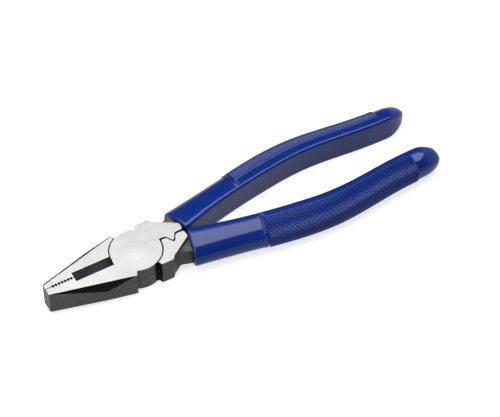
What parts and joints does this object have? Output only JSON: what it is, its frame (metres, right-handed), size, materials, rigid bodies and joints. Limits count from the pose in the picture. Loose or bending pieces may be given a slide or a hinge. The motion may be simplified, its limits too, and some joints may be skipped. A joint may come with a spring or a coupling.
{
  "type": "lineman pliers",
  "caption": "Lineman pliers with a flat serrated nose, side cutters, a crimping die behind the half-lap joint and moulded vinyl grips; the jaws open about a flush rivet.",
  "frame": {"origin": "on the pivot axis, at the underside face of the head, with the jaws closed", "axes": "+X towards the jaw tips, +Y towards the jaw of the upper lever, +Z along the pivot axis out of the upper face of the head"},
  "size_m": [0.2237, 0.059, 0.0166],
  "materials": {
    "forged_steel": "ground bright faces, black oxide sides",
    "rivet_steel": "ground bright",
    "blue_vinyl": "glossy with a diamond knurl"
  },
  "bodies": {
    "upper_half": {"upper_lever": "forged_steel", "upper_lever_grip": "blue_vinyl", "pivot_rivet": "rivet_steel"},
    "lower_half": {"lower_lever": "forged_steel", "lower_lever_grip": "blue_vinyl"}
  },
  "joints": [
    {"name": "jaw_pivot", "type": "hinge", "parent": "upper_half", "child": "lower_half", "pos_m": [0, 0, 0], "axis": [0, 0, -1], "range_deg": [0, 46]}
  ]
}
